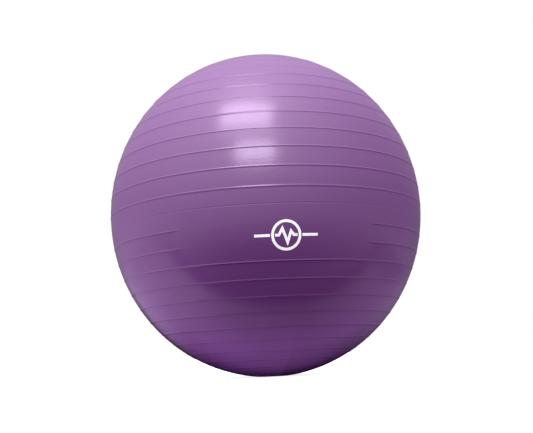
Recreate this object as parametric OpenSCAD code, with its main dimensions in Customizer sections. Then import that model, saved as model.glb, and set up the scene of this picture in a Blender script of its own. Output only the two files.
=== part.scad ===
// Inflated exercise ball, standing on the small flat that its own weight presses into it.
// The origin is the centre of that flat. +Z runs up the axis of the ribs, and the print faces -Y.

/* [Ball] */
// Diameter of the ball across its middle
equator_d = 636; // [600:2:680]
// Diameter of the ball along the axis of the ribs
polar_d = 664; // [620:2:700]
// Thickness of the inflated skin
wall = 0.8; // [0.6:0.1:1.4]
// Diameter of the flat where the ball rests
rest_d = 64; // [50:2:90]

/* [Ribs] */
// Height of a rib above the skin
rib_h = 0.6; // [0.4:0.1:1.5]
// Width of a rib at its foot
rib_w = 4; // [3:0.5:8]
// Height of the fainter ribs near the top and the bottom of the ball
low_rib_h = 0.3; // [0.2:0.1:1]
// Angle from the ball's middle beyond which the ribs are faint
low_rib_from = 48; // [40:1:60]
// Ribs above the parting line
ribs_above = 11; // [4:1:12]
// Ribs below the parting line
ribs_below = 11; // [4:1:12]
// Angle of the first rib above the parting line, from the ball's middle
first_above = -0.6; // [-1:0.1:0.5]
// Angle of the first rib below the parting line, from the ball's middle
first_below = -11.5; // [-12:0.1:-11]
// Angle from one rib to the next above the parting line
pitch_above = 6.27; // [6:0.01:6.5]
// Angle from one rib to the next below the parting line
pitch_below = 5.75; // [5.6:0.01:6]

/* [Parting line] */
// Angle of the parting line, from the ball's middle
seam_angle = -5.8; // [-6.5:0.1:-5.5]
// Width of the parting line
seam_w = 2.4; // [1.5:0.1:4]
// Depth of the parting line
seam_depth = 0.25; // [0.1:0.05:0.4]

/* [Print] */
// Angle from the front to the left end of the smooth window
window_left = -36; // [-45:1:-25]
// Angle from the front to the right end of the smooth window
window_right = 30; // [25:1:45]
// Angle of the mark's middle, from the ball's middle
mark_angle = -15.3; // [-16:0.1:-13]
// Width of the printed mark
mark_w = 110; // [80:1:130]
// Height of the printed mark
mark_h = 52; // [30:1:56]
// Width of the mark's lines
mark_line = 4.6; // [3:0.1:6]
// Thickness of the ink
ink = 0.12; // [0.1:0.01:0.3]

/* [Valve seat] */
// Half the angle over which the rib at the valve is left out
valve_gap = 5.5; // [5:0.5:9]
// Diameter of the seat's collar, which shows in the skin
collar_d = 30; // [26:1:34]
// Diameter of the seat's flange inside the skin
flange_d = 46; // [40:1:50]
// Thickness of the seat's flange
flange_t = 2.4; // [2:0.1:4]
// Diameter of the seat's sleeve
sleeve_d = 16; // [14:0.5:20]
// Distance from the ball's surface to the end of the sleeve
sleeve_depth = 22; // [16:1:30]
// Diameter of the recess for the plug's head
recess_d = 19; // [18.5:0.5:22]
// Depth of the recess for the plug's head
recess_depth = 1.8; // [1:0.1:2]
// Radius of the valve's bore
bore_r = 4; // [3:0.1:5]

/* [Plug] */
// Diameter of the plug's head
head_d = 18; // [16:0.5:18]
// Length of the plug's stem under its head
stem_l = 24; // [20:1:34]
// Length of the stem's tapered tip
tip_l = 6; // [3:1:10]
// Number of gripping rings on the stem
rings = 4; // [2:1:5]
// Gap between the gripping rings and the bore
ring_gap = 0.05; // [0.02:0.01:0.1]

/* [Hidden] */

$fn = 240;

equator_r = equator_d / 2;
polar_r = polar_d / 2;
// Height of the ball's middle above the flat
middle_z = polar_r * sqrt(1 - pow(rest_d / equator_d, 2));
rest_angle = -acos(rest_d / equator_d);

// Largest angles between the points of the outer and inner outlines
outer_facet = 1.5;
inner_facet = 3;

// Half the angles that a rib and the parting line take up
rib_half = rib_w / equator_d * 180 / PI;
seam_half = seam_w / equator_d * 180 / PI;
// Places of the points across a rib, from -1 at one foot to 1 at the other
rib_steps = [-1, -0.6, -0.3, 0, 0.3, 0.6, 1];
// Depth of a part rib's feet below the surface
foot_sink = 0.1;

// The first ribs on each side of the parting line are cut short: two by the window, one by the valve
cut_below = 2;
cut_above = 1;
below = [for (i = [0 : ribs_below - 1]) first_below - i * pitch_below];
above = [for (i = [0 : ribs_above - 1]) first_above + i * pitch_above];

function rib_height(angle) = abs(angle) > low_rib_from ? low_rib_h : rib_h;

// What goes all round the ball, from the bottom up: [angle, half its width, height]
features = concat(
    [for (i = [ribs_below - 1 : -1 : cut_below]) [below[i], rib_half, rib_height(below[i])]],
    [[seam_angle, seam_half, -seam_depth]],
    [for (i = [cut_above : ribs_above - 1]) [above[i], rib_half, rib_height(above[i])]]
);

// The low raised ring of the skin round the valve
valve_ring_r = 22;
valve_ring_d = 2.4;
valve_ring_sink = 1.4;
// Height over the middle of the ring's wire where the ring ends, halfway through the wall
valve_ring_foot = 0.3;

flange_back = equator_r - wall - flange_t;
head_seat_gap = 0.1;
head_edge = 0.6;
groove_depth = 0.6;
ring_share = 0.6;
tip_r = 2.6;
pry_notch_r = 3;
pry_notch_depth = 1.6;

mark_z = middle_z + polar_r * sin(mark_angle);
mark_gap = 2;

// A point of the ball's outline, out millimetres proud of the smooth surface
function on_ball(angle, out) =
    let (normal = [cos(angle) / equator_r, sin(angle) / polar_r])
    [equator_r * cos(angle), middle_z + polar_r * sin(angle)] + out * normal / norm(normal);

// Even points of the smooth surface strictly between two angles, as [angle, out] pairs
function smooth_run(low, high) =
    let (n = ceil((high - low) / outer_facet))
    [for (i = [1 : n - 1]) [low + (high - low) * i / n, 0]];

// The smooth surface from one angle to another, with both ends
function smooth_band(low, high) = concat([[low, 0]], smooth_run(low, high), [[high, 0]]);

// Rounded profile of a rib, or of a groove where the height is negative
function bump(angle, half, height) =
    [for (t = rib_steps) [angle + half * t, height * (1 + cos(180 * t)) / 2]];

// Ends of the smooth band under feature i
function band_low(i) = i == 0 ? rest_angle : features[i - 1][0] + features[i - 1][1];
function band_high(i) = i == len(features) ? 90 : features[i][0] - features[i][1];

function outline(pairs, lift) = [for (p = pairs) on_ball(p[0], p[1] + lift)];
function reversed(list) = [for (i = [len(list) - 1 : -1 : 0]) list[i]];

outer_line = outline(concat(
    [[rest_angle, 0]],
    [for (i = [0 : len(features)]) each concat(
        smooth_run(band_low(i), band_high(i)),
        i < len(features) ? bump(features[i][0], features[i][1], features[i][2]) : []
    )],
    [[90, 0]]
), 0);

inner_steps = ceil((90 - rest_angle) / inner_facet);
inner_line = [for (i = [0 : inner_steps])
    on_ball(90 - (90 - rest_angle) * i / inner_steps, -wall)];
inner_floor = inner_line[inner_steps][1];

// The two smooth bands beside the parting line: the window's, and the valve's
seam_feature = ribs_below - cut_below;
window_band = smooth_band(band_low(seam_feature), band_high(seam_feature));
valve_band = smooth_band(band_low(seam_feature + 1), band_high(seam_feature + 1));

// A part ring on the skin between two angles round the axis, where 0 is +X and -90 the front
module part_rib(angle, from, to) {
    ridge = [for (p = bump(angle, rib_half, rib_h + foot_sink)) on_ball(p[0], p[1] - foot_sink)];
    root = [on_ball(angle + rib_half, -wall / 2), on_ball(angle - rib_half, -wall / 2)];
    rotate([0, 0, from])
        rotate_extrude(angle = to - from)
            polygon(concat(ridge, root));
}

// A full turn of a stretch of outline, filled to the axis
module turned(line) {
    ends = [[0, line[len(line) - 1][1]], [0, line[0][1]]];
    rotate_extrude() polygon(concat(line, ends));
}

// Stands its children on the valve's axis, where their +Z points out of the ball
module on_valve_axis() {
    translate([0, 0, middle_z]) rotate([-90, 0, 0]) children();
}

module valve_ring() {
    on_valve_axis()
        rotate_extrude()
            translate([valve_ring_r, equator_r - valve_ring_sink])
                intersection() {
                    circle(d = valve_ring_d, $fn = 48);
                    translate([-valve_ring_d / 2, valve_ring_foot]) square(valve_ring_d);
                }
}

module skin() {
    color("rebeccapurple")
    difference() {
        union() {
            rotate_extrude() polygon(concat([[0, 0]], outer_line, inner_line, [[0, inner_floor]]));
            for (i = [0 : cut_below - 1]) {
                part_rib(below[i], window_right - 90, window_left + 270);
            }
            for (i = [0 : cut_above - 1]) {
                part_rib(above[i], 90 + valve_gap, 450 - valve_gap);
            }
            valve_ring();
        }
        on_valve_axis() translate([0, 0, flange_back]) cylinder(d = collar_d, h = sleeve_depth);
    }
}

module valve_seat() {
    inner_band = [for (p = reversed(inner_line)) if (abs(p[1] - middle_z) < flange_d) p];
    color("mediumpurple")
    difference() {
        union() {
            intersection() {
                turned(outline(valve_band, 0));
                on_valve_axis() translate([0, 0, flange_back]) cylinder(d = collar_d, h = sleeve_depth);
            }
            intersection() {
                turned(inner_band);
                on_valve_axis() translate([0, 0, flange_back]) cylinder(d = flange_d, h = sleeve_depth);
            }
            on_valve_axis()
                translate([0, 0, equator_r - sleeve_depth])
                    cylinder(d = sleeve_d, h = sleeve_depth - wall - flange_t / 2);
        }
        on_valve_axis() translate([0, 0, equator_r - 2 * sleeve_depth]) cylinder(r = bore_r, h = 3 * sleeve_depth);
        on_valve_axis() translate([0, 0, equator_r - recess_depth]) cylinder(d = recess_d, h = sleeve_depth);
    }
}

module valve_plug() {
    under = equator_r - recess_depth + head_seat_gap;
    top = equator_r + rib_h;
    ring_r = bore_r - ring_gap;
    pitch = (stem_l - tip_l) / rings;
    stem = [for (i = [rings - 1 : -1 : 0]) each [
        [ring_r, under - i * pitch - pitch * ring_share],
        [ring_r, under - i * pitch],
        [ring_r - groove_depth, under - i * pitch],
        [ring_r - groove_depth, under - i * pitch + (i == 0 ? 0 : pitch * (1 - ring_share))]
    ]];
    color("whitesmoke")
    on_valve_axis()
        difference() {
            rotate_extrude()
                polygon(concat(
                    [[0, under - stem_l], [tip_r, under - stem_l]],
                    stem,
                    [
                        [head_d / 2 - head_edge, under],
                        [head_d / 2, under + head_edge],
                        [head_d / 2, top - 2 * head_edge],
                        [head_d / 2 - head_edge, top - head_edge / 2],
                        [head_d / 2 - 4 * head_edge, top],
                        [0, top]
                    ]
                ));
            translate([0, head_d / 2, top - pry_notch_depth]) cylinder(r = pry_notch_r, h = sleeve_depth);
        }
}

// Sideways step, from point i of a line to the edge of a stroke of width 2, along the mitre
function mitre(points, i) =
    let (
        first = max(i, 1),
        last = min(i + 1, len(points) - 1),
        before = points[first] - points[first - 1],
        after = points[last] - points[last - 1],
        side = [-before[1], before[0]] / norm(before),
        sum = side + [-after[1], after[0]] / norm(after)
    )
    sum / (sum * side);

// A bent line of even width with flat ends
module stroke(points, width) {
    indices = [for (i = [0 : len(points) - 1]) i];
    polygon(concat(
        [for (i = indices) points[i] + mitre(points, i) * width / 2],
        [for (i = reversed(indices)) points[i] - mitre(points, i) * width / 2]
    ));
}

// A plain ball with a pulse line through it, broken by a thin gap on each side of the ring
module mark_shape() {
    r = mark_h / 2;
    pulse = [[-0.5, 0], [-0.26, 0.42], [0.08, -0.46], [0.32, 0.24], [0.5, 0]] * r;
    difference() {
        circle(r = r);
        circle(r = r - mark_line);
    }
    difference() {
        stroke(concat([[-mark_w / 2, 0]], pulse, [[mark_w / 2, 0]]), mark_line);
        difference() {
            circle(r = r + mark_gap);
            circle(r = r - mark_line - mark_gap);
        }
    }
}

module printed_mark() {
    color("white")
    intersection() {
        rotate_extrude() polygon(concat(outline(window_band, 0), reversed(outline(window_band, ink))));
        translate([0, -equator_r * 0.8, mark_z])
            rotate([90, 0, 0])
                linear_extrude(height = equator_r)
                    mark_shape();
    }
}

skin();
valve_seat();
valve_plug();
printed_mark();
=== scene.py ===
import math

import bmesh
import bpy
import numpy as np
from mathutils import Matrix, Vector


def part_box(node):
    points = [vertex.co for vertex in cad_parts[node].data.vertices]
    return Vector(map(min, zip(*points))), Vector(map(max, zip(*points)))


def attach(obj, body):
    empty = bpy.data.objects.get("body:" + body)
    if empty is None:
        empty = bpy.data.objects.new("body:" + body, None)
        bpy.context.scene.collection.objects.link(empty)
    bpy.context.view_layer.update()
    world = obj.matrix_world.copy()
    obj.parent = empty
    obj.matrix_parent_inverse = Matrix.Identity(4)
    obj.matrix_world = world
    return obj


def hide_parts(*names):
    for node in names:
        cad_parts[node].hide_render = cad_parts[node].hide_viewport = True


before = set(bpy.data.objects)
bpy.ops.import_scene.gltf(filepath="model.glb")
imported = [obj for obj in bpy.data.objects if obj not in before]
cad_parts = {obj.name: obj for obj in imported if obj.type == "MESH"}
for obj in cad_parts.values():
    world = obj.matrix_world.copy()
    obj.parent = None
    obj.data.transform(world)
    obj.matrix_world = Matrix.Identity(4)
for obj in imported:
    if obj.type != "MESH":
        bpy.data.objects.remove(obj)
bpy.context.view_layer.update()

MM = 0.001

# ---------------------------------------------------------------- sizes, in millimetres and degrees

RIB_H = 0.6
LOW_RIB_H = 0.3
LOW_RIB_FROM = 48.0
RIB_W = 4.0
WALL = 0.8
REST_R = 32.0

RIBS_EACH_SIDE = 11
FIRST_ABOVE = -0.6
FIRST_BELOW = -11.5
PITCH_ABOVE = 6.27
PITCH_BELOW = 5.75
SEAM_ANGLE = -5.8
SEAM_W = 2.4
SEAM_DEPTH = 0.25

WINDOW_LEFT = -36.0
WINDOW_RIGHT = 30.0
VALVE_GAP = 5.5
RIB_FADE = 2.5

HOLE_R = 15.0
VALVE_RING_R = 22.0
VALVE_RING_HALF = 2.2
VALVE_RING_H = 0.6
# The skin dips slightly where it meets the valve seat's collar
COLLAR_DIP = 0.25
COLLAR_DIP_W = 1.5

skin_low, skin_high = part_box("skin")
EQUATOR_R = round((skin_high.x - skin_low.x) / 2 / MM - RIB_H, 1)
FLAT_SHARE = math.sqrt(1 - (REST_R / EQUATOR_R) ** 2)
POLAR_R = round(skin_high.z / MM / (1 + FLAT_SHARE), 1)
MIDDLE_Z = POLAR_R * FLAT_SHARE
REST_ANGLE = -math.degrees(math.acos(REST_R / EQUATOR_R))

RIB_HALF = math.degrees(RIB_W / 2 / EQUATOR_R)
SEAM_HALF = math.degrees(SEAM_W / 2 / EQUATOR_R)

below = [FIRST_BELOW - i * PITCH_BELOW for i in range(RIBS_EACH_SIDE)]
above = [FIRST_ABOVE + i * PITCH_ABOVE for i in range(RIBS_EACH_SIDE)]


# ---------------------------------------------------------------- the ball's surface

def smooth_step(t):
    t = np.clip(t, 0, 1)
    return t * t * (3 - 2 * t)


def bump(t):
    """A rounded hump that is 1 high at 0 and ends at -1 and 1."""
    return np.where(np.abs(t) < 1, (1 + np.cos(np.pi * np.clip(t, -1, 1))) / 2, 0)


def outside(front, left, right):
    """0 between two angles from the front, and 1 once past either by RIB_FADE."""
    turned = (front - (left + right) / 2 + 180) % 360 - 180
    return smooth_step((np.abs(turned) - (right - left) / 2) / RIB_FADE)


def ribs(angle, front, shift):
    """Heights of the ribs, which can be shifted down by a share of half their width."""
    window = outside(front, WINDOW_LEFT, WINDOW_RIGHT)
    valve = outside(front, 180 - VALVE_GAP, 180 + VALVE_GAP)
    height = 0
    for side, cut, gap in ((below, 2, window), (above, 1, valve)):
        for i, a in enumerate(side):
            rib_h = LOW_RIB_H if abs(a) > LOW_RIB_FROM else RIB_H
            height = height + rib_h * bump((angle - a) / RIB_HALF + shift) * (gap if i < cut else 1)
    return height


def relief(angle, front, valve_distance):
    """Height of the skin over the smooth ball: angle is from its middle, front is from the front."""
    height = -SEAM_DEPTH * bump((angle - SEAM_ANGLE) / SEAM_HALF) + ribs(angle, front, 0)
    height = height + VALVE_RING_H * bump((valve_distance - VALVE_RING_R) / VALVE_RING_HALF)
    return height - COLLAR_DIP * (1 - smooth_step((valve_distance - HOLE_R) / COLLAR_DIP_W))


def on_ball(angle, front, out):
    """Points of the ball, out millimetres proud of the smooth surface, in metres."""
    a, f = np.radians(angle), np.radians(front)
    across, up = np.cos(a) / EQUATOR_R, np.sin(a) / POLAR_R
    size = np.hypot(across, up)
    r = EQUATOR_R * np.cos(a) + out * across / size
    z = MIDDLE_Z + POLAR_R * np.sin(a) + out * up / size
    return np.stack([r * np.sin(f), -r * np.cos(f), z], axis=-1) * MM


# ---------------------------------------------------------------- meshes

MERGE_DISTANCE = 1e-7
SHARP_ANGLE = 40


def mesh_object(name, points, faces):
    mesh = bpy.data.meshes.new(name)
    mesh.from_pydata([tuple(p) for p in points], [], faces)
    mesh.validate()
    obj = bpy.data.objects.new(name, mesh)
    bpy.context.scene.collection.objects.link(obj)
    return obj


def finish_mesh(obj):
    """Drops loose points, turns every face outwards and shades all but the sharp edges smooth."""
    work = bmesh.new()
    work.from_mesh(obj.data)
    bmesh.ops.remove_doubles(work, verts=work.verts, dist=MERGE_DISTANCE)
    bmesh.ops.delete(work, geom=[v for v in work.verts if not v.link_faces], context="VERTS")
    bmesh.ops.recalc_face_normals(work, faces=work.faces)
    work.to_mesh(obj.data)
    work.free()
    obj.data.shade_smooth()
    obj.data.set_sharp_from_angle(angle=math.radians(SHARP_ANGLE))


def rows_between(low, high, step):
    """Even rows strictly between two angles."""
    count = max(1, math.ceil((high - low) / step))
    return [low + (high - low) * i / count for i in range(1, count)]


# The valve's zone has a fine square grid, whose middle is drawn in to a round hole
CELL = math.degrees(1 / EQUATOR_R)
CELL_UP = math.degrees(1 / POLAR_R)
HOLE_CELLS = 15
ZONE_CELLS = 27
HALF_CELL = 0.5
# Keeps the grid's middle point from a division by 0
NEARLY_0 = 1e-9

# Angles between the rows and between the columns of the outer and the inner side
OUTER_STEP = 2.0
INNER_STEP = 5.0
OUTER_COLUMN = 1.8
INNER_COLUMN = 6.0
TOP_ROW = 88
# The outer rows start this far under the edge of the flat, and are pressed up to the flat
UNDER_FLAT = 1.5
# Places of the rows across a rib and the parting line, in halves of its width. The outermost rows lie just
# outside it, so that its shading doesn't smear over the smooth skin
RIB_ROWS = [-1.3, -1, -0.66, -0.33, 0, 0.33, 0.66, 1, 1.3]
SEAM_ROWS = [-1.5, -1, -0.5, 0, 0.5, 1, 1.5]

# The lower foot of every rib gets painted shade, a darker purple that stands in for the light the rib keeps
# off it:
# how far the painted shade is shifted down, in halves of the rib's width, and the most that it takes off red,
# green and blue
FOOT_SHIFT = 0.7
FOOT_PAINTED_SHADE = (0.24, 0.5, 0.24)
PAINTED_SHADE_NAME = "rib_painted_shade"


def joined_rows(rows, groups, step):
    """Angles of the first rows and of the groups above them, with even rows between the groups."""
    for group in groups:
        rows = rows + rows_between(rows[-1], group[0], step) + group
    return rows


zone_rows = [i * CELL_UP for i in range(-ZONE_CELLS, ZONE_CELLS + 1)]


def inner_rows():
    return joined_rows([REST_ANGLE], [zone_rows, [TOP_ROW]], INNER_STEP)


def outer_rows():
    under = [[a + RIB_HALF * t for t in RIB_ROWS] for a in reversed(below)]
    under.append([SEAM_ANGLE + SEAM_HALF * t for t in SEAM_ROWS])
    over = [[a + RIB_HALF * t for t in RIB_ROWS] for a in above[1:]]
    groups = under + [zone_rows] + over + [[TOP_ROW]]
    return joined_rows([REST_ANGLE - UNDER_FLAT, REST_ANGLE], groups, OUTER_STEP)


def skin_columns(step):
    """Angles round the axis from the valve, where the zone's columns come first."""
    zone = [i * CELL for i in range(-ZONE_CELLS, ZONE_CELLS + 1)]
    return zone + rows_between(zone[-1], 360 + zone[0], step)


def skin_sheet(rows, columns, out, flat_z):
    """One side of the skin: its points, their painted shade at the ribs' feet, its faces and the ring of
    points round the hole.
    """
    angle, turn = np.meshgrid(rows, columns, indexing="ij")
    cell = np.stack([turn / CELL, angle / CELL_UP])
    cells_out = np.abs(cell).max(axis=0)
    length = np.maximum(np.hypot(cell[0], cell[1]), NEARLY_0)
    pull = np.clip((ZONE_CELLS - cells_out) / (ZONE_CELLS - HOLE_CELLS), 0, 1)
    drawn_in = 1 + pull * (cells_out / length - 1)
    angle = np.where(cells_out < ZONE_CELLS, angle * drawn_in, angle)
    turn = np.where(cells_out < ZONE_CELLS, turn * drawn_in, turn)
    distance = np.hypot(turn / CELL, angle / CELL_UP)
    front = 180 - turn
    height = out + (relief(angle, front, distance) if out == 0 else 0)
    points = on_ball(angle, front, height)
    points[..., 2] = np.maximum(points[..., 2], flat_z * MM)
    n_rows, n_columns = angle.shape
    flat = points.reshape(-1, 3)
    faces = []
    for i in range(n_rows - 1):
        for j in range(n_columns):
            k = (j + 1) % n_columns
            corners = [(i, j), (i, k), (i + 1, k), (i + 1, j)]
            if all(cells_out[c] < HOLE_CELLS + HALF_CELL for c in corners):
                continue
            faces.append([a * n_columns + b for a, b in corners])
    # Painted shade at each rib's lower foot, 1 where it is full
    shade = ribs(angle, front, FOOT_SHIFT) / RIB_H if out == 0 else np.zeros(angle.shape)
    bottom, top = len(flat), len(flat) + 1
    ends = np.array([[0, 0, flat_z], [0, 0, MIDDLE_Z + POLAR_R + out]]) * MM
    last = (n_rows - 1) * n_columns
    for j in range(n_columns):
        k = (j + 1) % n_columns
        faces.append([bottom, k, j])
        faces.append([last + j, last + k, top])
    on_ring = np.argwhere(np.abs(cells_out - HOLE_CELLS) < HALF_CELL)
    ring = sorted(on_ring, key=lambda c: math.atan2(cell[1][tuple(c)], cell[0][tuple(c)]))
    shades = np.append(shade.ravel(), [0, 0])
    return np.vstack([flat, ends]), shades, faces, [int(i * n_columns + j) for i, j in ring]


def make_skin():
    outer, outer_shades, outer_faces, outer_ring = skin_sheet(
        outer_rows(), skin_columns(OUTER_COLUMN), out=0, flat_z=0
    )
    inner, inner_shades, inner_faces, inner_ring = skin_sheet(
        inner_rows(), skin_columns(INNER_COLUMN), out=-WALL, flat_z=WALL
    )
    shift = len(outer)
    faces = outer_faces + [[shift + v for v in face] for face in inner_faces]
    for i in range(len(outer_ring)):
        k = (i + 1) % len(outer_ring)
        faces.append([outer_ring[i], outer_ring[k], shift + inner_ring[k], shift + inner_ring[i]])
    obj = mesh_object("ball_skin", np.vstack([outer, inner]), faces)
    attribute = obj.data.attributes.new(PAINTED_SHADE_NAME, "FLOAT", "POINT")
    attribute.data.foreach_set("value", np.append(outer_shades, inner_shades))
    finish_mesh(obj)
    return obj


FILLET_STEPS = 5
# Share of a side that the rounding of one of its corners may take
LONGEST_REACH = 0.49


def filleted(corners):
    """Points of an outline of (across, along, corner radius) corners, with its corners rounded."""
    points = []
    for i, (x, y, radius) in enumerate(corners):
        here = Vector((x, y))
        if radius == 0:
            points.append(here)
            continue
        before = Vector(corners[i - 1][:2]) - here
        after = Vector(corners[(i + 1) % len(corners)][:2]) - here
        reach = radius / math.tan(before.angle(after) / 2)
        reach = min(reach, before.length * LONGEST_REACH, after.length * LONGEST_REACH)
        start = here + before.normalized() * reach
        end = here + after.normalized() * reach
        for s in range(FILLET_STEPS + 1):
            t = s / FILLET_STEPS
            points.append(start.lerp(here, t).lerp(here.lerp(end, t), t))
    return points


TURNED_SEGMENTS = 96
# A point nearer to the axis than this lies on it
ON_AXIS = 1e-6


def turned_on_valve(name, outline, closed=False):
    """A solid of revolution on the valve's axis, from (radius, depth below the ball's surface) points."""
    points, faces, rings = [], [], []
    for p in outline:
        if p.x < ON_AXIS:
            rings.append([len(points)] * TURNED_SEGMENTS)
            points.append((0, (EQUATOR_R - p.y) * MM, MIDDLE_Z * MM))
            continue
        rings.append(range(len(points), len(points) + TURNED_SEGMENTS))
        for s in range(TURNED_SEGMENTS):
            a = 2 * math.pi * s / TURNED_SEGMENTS
            x, y, z = p.x * math.cos(a), EQUATOR_R - p.y, MIDDLE_Z + p.x * math.sin(a)
            points.append((x * MM, y * MM, z * MM))
    pairs = list(zip(rings, rings[1:])) + ([(rings[-1], rings[0])] if closed else [])
    for low, high in pairs:
        for s in range(TURNED_SEGMENTS):
            t = (s + 1) % TURNED_SEGMENTS
            face = list(dict.fromkeys((low[s], low[t], high[t], high[s])))
            if len(face) > 2:
                faces.append(face)
    obj = mesh_object(name, points, faces)
    finish_mesh(obj)
    return obj


# ---------------------------------------------------------------- the valve's seat and plug

BORE_R = 4.0
RECESS_R = 9.5
RECESS_DEPTH = 1.8
SLEEVE_R = 8.0
SLEEVE_DEPTH = 22.0
FLANGE_R = 23.0
FLANGE_T = 2.4
COLLAR_GAP = 0.1
SKIN_GAP = 0.05

HEAD_R = 9.0
HEAD_UNDER = 1.7
STEM_L = 24.0
TIP_L = 6.0
TIP_R = 2.6
STEM_RINGS = 4
STEM_RING_R = 3.95
STEM_CORE_R = 3.35
RING_SHARE = 0.6
NOTCH_R = 3.0
NOTCH_DEPTH = 1.6
NOTCH_SEGMENTS = 48
CUTTER_L = 10.0
# The shallow dish in the head, and the pip that moulding leaves in its middle
DISH_R = 5.6
DISH_FLOOR_R = 5.2
DISH_DEPTH = 0.25
PIP_R = 0.8
PIP_TOP_R = 0.6
PIP_TOP_DEPTH = 0.1

# Radii of the rounded edges
EDGE = 0.5
FINE_EDGE = 0.4
COLLAR_EDGE = 0.3
FLANGE_FILLET = 1.5
SLEEVE_EDGE = 0.8
TIP_EDGE = 1.0
RING_EDGE = 0.15
HEAD_EDGE = 0.9
DISH_EDGE = 0.3


def fall(r):
    """How far the ball's surface lies below its crown at the valve, r from the valve's axis."""
    return r * r / 2 / EQUATOR_R


def make_seat():
    under_skin = WALL + SKIN_GAP
    collar_r = HOLE_R - COLLAR_GAP
    outline = filleted([
        (BORE_R, SLEEVE_DEPTH, FINE_EDGE),
        (BORE_R, RECESS_DEPTH, EDGE),
        (RECESS_R, RECESS_DEPTH, FINE_EDGE),
        (RECESS_R, fall(RECESS_R), EDGE),
        (collar_r, fall(collar_r), COLLAR_EDGE),
        (collar_r, fall(collar_r) + under_skin, 0),
        (FLANGE_R, fall(FLANGE_R) + under_skin, EDGE),
        (FLANGE_R, WALL + FLANGE_T, EDGE),
        (SLEEVE_R, WALL + FLANGE_T, FLANGE_FILLET),
        (SLEEVE_R, SLEEVE_DEPTH, SLEEVE_EDGE),
    ])
    return turned_on_valve("valve_seat_vinyl", outline, closed=True)


def plug_outline(top):
    """Half of the plug's section, from the tip up the ringed stem and over the head; its face is top deep."""
    pitch = (STEM_L - TIP_L) / STEM_RINGS
    corners = [(0, HEAD_UNDER + STEM_L, 0), (TIP_R, HEAD_UNDER + STEM_L, TIP_EDGE)]
    for i in reversed(range(1, STEM_RINGS)):
        start = HEAD_UNDER + i * pitch
        corners += [
            (STEM_RING_R, start + pitch * RING_SHARE, EDGE),
            (STEM_RING_R, start, RING_EDGE),
            (STEM_CORE_R, start, 0),
            (STEM_CORE_R, start - pitch * (1 - RING_SHARE), 0),
        ]
    corners += [
        (STEM_RING_R, HEAD_UNDER + pitch * RING_SHARE, EDGE),
        (STEM_RING_R, HEAD_UNDER, 0),
        (HEAD_R, HEAD_UNDER, EDGE),
        (HEAD_R, top, HEAD_EDGE),
        (DISH_R, top, FINE_EDGE),
        (DISH_FLOOR_R, top + DISH_DEPTH, DISH_EDGE),
        (PIP_R, top + DISH_DEPTH, 0),
        (PIP_TOP_R, top + PIP_TOP_DEPTH, 0),
        (0, top + PIP_TOP_DEPTH, 0),
    ]
    return filleted(corners)


def cut_notch(plug, top):
    """Cuts the pry notch into the lower edge of the plug's head."""
    cutter = bmesh.new()
    bmesh.ops.create_cone(
        cutter, cap_ends=True, segments=NOTCH_SEGMENTS, radius1=NOTCH_R * MM, radius2=NOTCH_R * MM,
        depth=CUTTER_L * MM,
    )
    knife_mesh = bpy.data.meshes.new("notch_cutter")
    cutter.to_mesh(knife_mesh)
    cutter.free()
    knife = bpy.data.objects.new("notch_cutter", knife_mesh)
    bpy.context.scene.collection.objects.link(knife)
    knife_y = (EQUATOR_R - top - NOTCH_DEPTH) * MM + CUTTER_L * MM / 2
    knife_z = (MIDDLE_Z - HEAD_R) * MM
    knife.matrix_world = Matrix.Translation((0, knife_y, knife_z)) @ Matrix.Rotation(math.pi / 2, 4, "X")
    cut = plug.modifiers.new("notch", "BOOLEAN")
    cut.operation = "DIFFERENCE"
    cut.object = knife
    cut.solver = "EXACT"
    bpy.context.view_layer.update()
    result = bpy.data.meshes.new_from_object(plug.evaluated_get(bpy.context.evaluated_depsgraph_get()))
    plug.modifiers.clear()
    plug.data = result
    bpy.data.objects.remove(knife)
    finish_mesh(plug)


def make_plug():
    top = EQUATOR_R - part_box("valve_plug")[1].y / MM
    plug = turned_on_valve("valve_plug_stopper", plug_outline(top))
    cut_notch(plug, top)
    return plug


# ---------------------------------------------------------------- materials

# Places of a Mix node's two inputs and its output, for numbers and for colours
NUMBERS = (2, 3, 0)
COLOURS = (6, 7, 2)

# Ways to stretch a noise: not at all, or so that it runs in level streaks round the ball
EVEN = (1, 1, 1)
LEVEL_STREAKS = (1, 1, 90)

WHITE = (1, 1, 1, 1)


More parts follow.
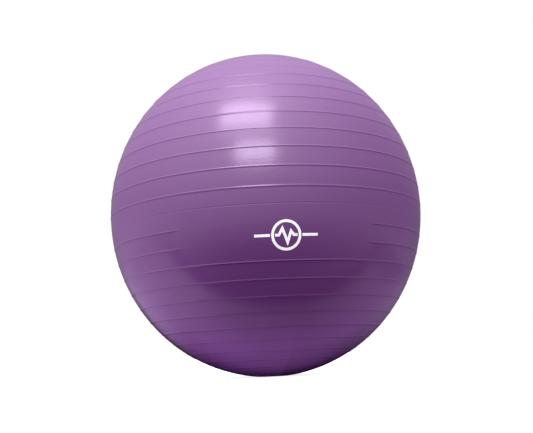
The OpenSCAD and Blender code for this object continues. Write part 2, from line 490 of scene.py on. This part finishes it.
class Graph:
    """Short calls for wiring one node tree."""

    def __init__(self, tree):
        self.nodes, self.links = tree.nodes, tree.links

    def add(self, kind, *values, **settings):
        """A new node with these settings, whose first inputs take these values or sockets."""
        node = self.nodes.new(kind)
        for name, value in settings.items():
            setattr(node, name, value)
        for socket, value in zip(node.inputs, values):
            self.feed(socket, value)
        return node

    def feed(self, socket, value):
        if isinstance(value, bpy.types.NodeSocket):
            self.links.new(value, socket)
        elif value is not None:
            socket.default_value = value

    def math(self, operation, *values):
        return self.add("ShaderNodeMath", *values, operation=operation).outputs[0]

    def curve(self, value, stops):
        """A number that follows value from stop to stop, each an (input, output) pair."""
        low, high = stops[0][0], stops[-1][0]
        scale = max(output for _, output in stops)
        share = self.math("DIVIDE", self.math("SUBTRACT", value, low), high - low)
        node = self.add("ShaderNodeValToRGB", share)
        ends = node.color_ramp.elements
        while len(ends) < len(stops):
            ends.new(0.5)
        for end, (place, output) in zip(ends, stops):
            end.position = (place - low) / (high - low)
            end.color = (output / scale,) * 3 + (1,)
        return self.math("MULTIPLY", node.outputs["Color"], scale)

    def noise(self, coords, scale, detail, stretch=EVEN):
        mapping = self.add("ShaderNodeMapping", coords)
        mapping.inputs["Scale"].default_value = stretch
        return self.add("ShaderNodeTexNoise", mapping.outputs[0], None, scale, detail).outputs["Fac"]

    def mix(self, places, share, first, second, **settings):
        first_input, second_input, output = places
        node = self.add("ShaderNodeMix", share, **settings)
        self.feed(node.inputs[first_input], first)
        self.feed(node.inputs[second_input], second)
        return node.outputs[output]

    def between(self, share, low, high):
        """A number or a colour that goes from low to high with share."""
        if isinstance(low, tuple):
            return self.mix(COLOURS, share, (*low, 1), (*high, 1), data_type="RGBA")
        return self.mix(NUMBERS, share, low, high)


CLOUD_DETAIL = 3
PATCH_DETAIL = 4
# How many times finer the patches of roughness are than the clouds of colour
PATCH_FINENESS = 3


def finished(name, dark, light, roughness, spread, cloud_scale, bumps, ior=1.5, glow=0):
    """A material clouded between two colours, with patches whose roughness varies by spread either way.

    The bumps are (scale, detail, stretch, height in metres) each. Glow is painted light: a white emission
    that makes the surface brighter than the lamps make it.
    """
    material = bpy.data.materials.new(name)
    material.use_nodes = True
    graph = Graph(material.node_tree)
    shader = graph.nodes["Principled BSDF"]
    coords = graph.add("ShaderNodeTexCoord").outputs["Object"]
    cloud = graph.noise(coords, cloud_scale, CLOUD_DETAIL)
    graph.feed(shader.inputs["Base Color"], graph.between(cloud, dark, light))
    patch = graph.noise(coords, cloud_scale * PATCH_FINENESS, PATCH_DETAIL)
    graph.feed(shader.inputs["Roughness"], graph.between(patch, roughness - spread, roughness + spread))
    shader.inputs["IOR"].default_value = ior
    normal = None
    for scale, detail, stretch, height in bumps:
        node = graph.add("ShaderNodeBump")
        node.inputs["Distance"].default_value = height
        graph.feed(node.inputs["Height"], graph.noise(coords, scale, detail, stretch))
        graph.feed(node.inputs["Normal"], normal)
        normal = node.outputs["Normal"]
    graph.feed(shader.inputs["Normal"], normal)
    shader.inputs["Emission Color"].default_value = WHITE
    shader.inputs["Emission Strength"].default_value = glow
    return material


def paint_shade(material, attribute, shares):
    """Paints shade into a finished material: darkens its red, green and blue by these shares where the mesh
    attribute is 1.
    """
    graph = Graph(material.node_tree)
    base = graph.nodes["Principled BSDF"].inputs["Base Color"]
    colour = base.links[0].from_socket
    painted_shade_mask = graph.add("ShaderNodeAttribute", attribute_name=attribute).outputs["Fac"]
    darker = (*(1 - share for share in shares), 1)
    graph.feed(base, graph.mix(COLOURS, painted_shade_mask, colour, darker, data_type="RGBA", blend_type="MULTIPLY"))


skin_vinyl = finished(
    "skin_vinyl", (0.147, 0.038, 0.197), (0.157, 0.042, 0.21), roughness=0.23, spread=0.04, cloud_scale=9,
    bumps=[(4, 2, LEVEL_STREAKS, 0.00004), (220, 2, EVEN, 0.0001)], ior=1.8,
)
# Painted shade at the feet of the skin's ribs
paint_shade(skin_vinyl, PAINTED_SHADE_NAME, FOOT_PAINTED_SHADE)
seat_vinyl = finished(
    "seat_vinyl", (0.1, 0.026, 0.135), (0.118, 0.032, 0.158), roughness=0.4, spread=0.06, cloud_scale=60,
    bumps=[(900, 3, EVEN, 0.00002)],
)
plug_plastic = finished(
    "plug_plastic", (0.56, 0.56, 0.54), (0.61, 0.61, 0.59), roughness=0.38, spread=0.06, cloud_scale=120,
    bumps=[(700, 3, EVEN, 0.00001)],
)
# The print's glow is painted light, which makes the ink whiter than the lamps light it
print_ink = finished(
    "print_ink", (0.93, 0.92, 0.94), (0.97, 0.96, 0.98), roughness=0.42, spread=0.05, cloud_scale=80,
    bumps=[(700, 3, EVEN, 0.00001)], glow=0.22,
)

# ---------------------------------------------------------------- pieces

for piece, body, node, slot, material in [
    (make_skin(), "ball", "skin", "skin_vinyl", skin_vinyl),
    (make_seat(), "ball", "valve_seat", "seat_vinyl", seat_vinyl),
    (make_plug(), "plug", "valve_plug", "plug_plastic", plug_plastic),
]:
    piece.data.materials.clear()
    piece.data.materials.append(material)
    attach(piece, body)
    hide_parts(node)

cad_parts["printed_mark"].material_slots[0].material = print_ink

# ---------------------------------------------------------------- lights

MIDDLE = Vector((0, 0, MIDDLE_Z * MM))


def look(obj, place, target):
    """Puts obj at place, upright, with its -Z towards target."""
    forward = (Vector(target) - Vector(place)).normalized()
    right = forward.cross(Vector((0, 0, 1))).normalized()
    turn = Matrix((right, right.cross(forward), -forward)).transposed().to_4x4()
    obj.matrix_world = Matrix.Translation(place) @ turn


def direction(azimuth, elevation):
    """A unit vector from the ball: azimuth 0 is the front, 90 is +X."""
    a, e = math.radians(azimuth), math.radians(elevation)
    return Vector((math.sin(a) * math.cos(e), -math.cos(a) * math.cos(e), math.sin(e)))


LIGHT_DISTANCE = 1.6
# The room's colour in the gloss; its green is 1, so that every level below is a level of green
GLOSS_TINT = (1.21, 1, 1.31)


def panel(name, azimuth, elevation, wide, high, radiance):
    """A soft box that looks wide by high degrees from the ball, and that only its gloss shows."""
    data = bpy.data.lights.new(name, "AREA")
    data.shape = "RECTANGLE"
    data.size = 2 * LIGHT_DISTANCE * math.tan(math.radians(wide) / 2)
    data.size_y = 2 * LIGHT_DISTANCE * math.tan(math.radians(high) / 2)
    data.energy = radiance * math.pi * data.size * data.size_y
    data.color = GLOSS_TINT
    light = bpy.data.objects.new(name, data)
    bpy.context.scene.collection.objects.link(light)
    look(light, MIDDLE + direction(azimuth, elevation) * LIGHT_DISTANCE, MIDDLE)
    light.visible_camera = False
    light.visible_diffuse = False


# Two bright soft boxes one over the other, a little left of the front, with a dim one between them
panel("key_upper", azimuth=-20.5, elevation=55.5, wide=28, high=17, radiance=4.1)
panel("key_middle", azimuth=-16, elevation=45, wide=34, high=10, radiance=0.4)
panel("key_lower", azimuth=-11.5, elevation=30, wide=23, high=12, radiance=5)


def square(name, left, right, near, far):
    corners = [(left, near, 0), (right, near, 0), (right, far, 0), (left, far, 0)]
    return mesh_object(name, corners, [[0, 1, 2, 3]])


def new_material(name):
    material = bpy.data.materials.new(name)
    material.use_nodes = True
    return material, Graph(material.node_tree)


# The plain white floor, which only the camera sees
FLOOR_REACH = 40
FLOOR_WHITE = 0.9
FLOOR_ROUGHNESS = 0.8
FLOOR_GLOW = 0.75
floor = square("floor", left=-FLOOR_REACH, right=FLOOR_REACH, near=-FLOOR_REACH, far=FLOOR_REACH)
floor_paint, floor_graph = new_material("floor_paint")
paint = floor_graph.nodes["Principled BSDF"]
paint.inputs["Base Color"].default_value = (FLOOR_WHITE, FLOOR_WHITE, FLOOR_WHITE, 1)
paint.inputs["Roughness"].default_value = FLOOR_ROUGHNESS
paint.inputs["Emission Color"].default_value = WHITE
paint.inputs["Emission Strength"].default_value = FLOOR_GLOW
floor.data.materials.append(floor_paint)
floor.visible_glossy = False
floor.visible_diffuse = False

# The pale table under the ball, seen only by its gloss and as soft light from below: paler on the left, dark
# past its front edge, and with a painted shadow of the ball round the place where the ball rests. Lengths
# here are in metres
TABLE_TINT = (1.3, 1, 1.45, 1)
# It lies just under the flat, so that the two don't share a plane
TABLE_DROP = 0.0005
# Lengths ahead of the place of contact count this many times, so that the painted shadow reaches less far
# there
AHEAD_SCALE = 2.2
# For every metre behind it, the painted shadow is this much wider on each side, and the bands lie this far
# right
DARK_WIDENS = 0.42
BANDS_MOVE = 0.67
table = square("table", left=-2.5, right=1.2, near=-0.36, far=2.5)
table_glow, graph = new_material("table_glow")
spot = graph.add("ShaderNodeSeparateXYZ", graph.add("ShaderNodeTexCoord").outputs["Object"]).outputs
across, along = spot["X"], spot["Y"]


def apart(ahead_scale):
    """Distance from the line behind the place of contact; lengths ahead of it count ahead_scale times."""
    ahead = graph.math("MULTIPLY", graph.math("MINIMUM", along, 0), ahead_scale)
    squares = graph.math("ADD", graph.math("POWER", ahead, 2), graph.math("POWER", across, 2))
    return graph.math("SQRT", squares)


behind = graph.math("MAXIMUM", along, 0)
# The painted shadow of the ball in the table's gloss: 0 inside it and 1 clear of it
open_share = graph.curve(
    graph.math("MULTIPLY_ADD", behind, -DARK_WIDENS, apart(AHEAD_SCALE)),
    [(0.13, 0), (0.2, 0.3), (0.3, 0.82), (0.4, 1)],
)
pale = graph.curve(graph.math("MULTIPLY_ADD", behind, -BANDS_MOVE, across), [
    (-1.5, 0.52), (-1.1, 0.56), (-0.8, 0.58), (-0.45, 0.56), (-0.3, 0.48), (-0.15, 0.26), (0, 0.16),
    (0.1, 0.16), (0.2, 0.21), (0.4, 0.27), (0.5, 0.26), (0.65, 0.15), (1.2, 0.14),
])
sideways = graph.curve(across, [(-1.5, 1.2), (-0.6, 1.4), (-0.3, 1.1), (0, 0.8), (0.3, 1.15), (1.2, 1.6)])
# The soft light is dimmer next to the place of contact: painted shadow of the ball
outwards = graph.curve(apart(1), [(0, 0.5), (0.06, 0.8), (0.12, 1.1), (0.3, 1)])
backwards = graph.curve(behind, [(0, 1), (0.6, 1.8)])
soft = graph.math("MULTIPLY", graph.math("MULTIPLY", sideways, outwards), backwards)
soft_ray = graph.add("ShaderNodeLightPath").outputs["Is Diffuse Ray"]
level = graph.between(soft_ray, graph.math("MULTIPLY", pale, open_share), soft)
front_edge = graph.curve(along, [(-0.36, 0), (-0.31, 0), (-0.27, 1), (-0.2, 1)])
glow = graph.add("ShaderNodeEmission", TABLE_TINT, graph.math("MULTIPLY", level, front_edge))
graph.links.new(glow.outputs[0], graph.nodes["Material Output"].inputs["Surface"])
table.data.materials.append(table_glow)
table.location.z = -TABLE_DROP
table.visible_camera = False
table.visible_shadow = False

# ---------------------------------------------------------------- the room

world = bpy.data.worlds.new("studio")
world.use_nodes = True
world.cycles.sampling_method = "NONE"
bpy.context.scene.world = world
room = Graph(world.node_tree)

ray = room.add("ShaderNodeTexCoord").outputs["Generated"]
parts = room.add("ShaderNodeSeparateXYZ", ray).outputs
up = parts["Z"]
level_part = room.add("ShaderNodeCombineXYZ", parts["X"], parts["Y"], 0.0).outputs[0]
heading = room.add("ShaderNodeVectorMath", level_part, operation="NORMALIZE").outputs[0]


def facing(azimuth, power):
    """1 towards an azimuth and 0 away from it, narrower with a higher power."""
    cosine = room.add("ShaderNodeVectorMath", heading, direction(azimuth, 0), operation="DOT_PRODUCT")
    half = room.math("MULTIPLY_ADD", cosine.outputs["Value"], 0.5, 0.5)
    return room.math("POWER", room.math("MAXIMUM", half, 0), power)


def by_height(stops):
    """A level that follows the height in the room, from (degrees above the horizon, level) pairs."""
    return room.curve(up, [(math.sin(math.radians(degrees)), output) for degrees, output in stops])


def lobe(base, azimuth, power, strength, stops):
    """Adds to base a side of the room, brightest towards an azimuth, that follows the height by stops."""
    amount = room.math("MULTIPLY", facing(azimuth, power), strength)
    return room.math("MULTIPLY_ADD", by_height(stops), amount, base)


# What the gloss mirrors: a pale ceiling that darkens downwards, more light from the front left, and a little
# from low on both sides
mirrored = by_height([
    (-90, 0.05), (-53, 0.02), (-24, 0.03), (-8, 0.12), (8, 0.17), (22, 0.34), (38, 0.56), (52, 0.88),
    (68, 1.3), (90, 1.85),
])
front_left = [
    (-90, 0), (-37, 0.02), (-22, 0.15), (-8, 0.5), (8, 0.7), (22, 0.9), (38, 1.05), (52, 1.1), (90, 1.1),
]
low_sides = [(-90, 0), (-64, 1), (-12, 1), (0, 0.5), (12, 0), (90, 0)]
mirrored = lobe(mirrored, azimuth=-34, power=1.5, strength=1, stops=front_left)
mirrored = lobe(mirrored, azimuth=-115, power=8, strength=0.5, stops=low_sides)
mirrored = lobe(mirrored, azimuth=100, power=6, strength=0.2, stops=low_sides)

# What lights the pieces themselves: the ceiling, both sides, and high up in front, a little to the left
even = by_height([(-90, 0.1), (-24, 0.02), (-6, 0.3), (12, 0.6), (37, 1.2), (90, 1.9)])
left_side = [(-90, 0.3), (-6, 1), (12, 1), (90, 0.6)]
right_side = [(-90, 1), (12, 1), (90, 0.8)]
high_front = [(-90, 0), (-6, 0), (12, 0.3), (37, 1), (90, 1)]
even = lobe(even, azimuth=-112, power=6, strength=1.3, stops=left_side)
even = lobe(even, azimuth=100, power=6, strength=0.7, stops=right_side)
even = lobe(even, azimuth=-20, power=3, strength=1.65, stops=high_front)

rays = room.add("ShaderNodeLightPath").outputs
lit = room.add("ShaderNodeBackground", WHITE, even).outputs[0]
gloss = room.add("ShaderNodeBackground", (*GLOSS_TINT, 1), mirrored).outputs[0]
plain = room.add("ShaderNodeBackground", WHITE, 1.0).outputs[0]
lit = room.add("ShaderNodeMixShader", rays["Is Glossy Ray"], lit, gloss).outputs[0]
lit = room.add("ShaderNodeMixShader", rays["Is Camera Ray"], lit, plain).outputs[0]
room.links.new(lit, room.nodes["World Output"].inputs["Surface"])

# ---------------------------------------------------------------- camera

# It stands near the floor, a little left of the front, and looks slightly up at the ball. Its drop is an
# angle under the ball's middle, and its distance is in radii of the ball
CAMERA_AZIMUTH = -6.3
CAMERA_DROP = 9.7
CAMERA_DISTANCE = 5.4
CAMERA_ROLL = 2.66
CAMERA_LENS = 55.5
CAMERA_SENSOR = 36
CAMERA_SHIFT = (0.0015, -0.0024)
camera = bpy.data.objects.new("camera", bpy.data.cameras.new("camera"))
bpy.context.scene.collection.objects.link(camera)
camera.data.sensor_width = CAMERA_SENSOR
camera.data.lens = CAMERA_LENS
camera.data.shift_x, camera.data.shift_y = CAMERA_SHIFT
look(camera, MIDDLE + direction(CAMERA_AZIMUTH, -CAMERA_DROP) * CAMERA_DISTANCE * EQUATOR_R * MM, MIDDLE)
camera.matrix_world = camera.matrix_world @ Matrix.Rotation(-math.radians(CAMERA_ROLL), 4, "Z")
bpy.context.scene.camera = camera

bpy.context.scene.view_settings.view_transform = "Standard"
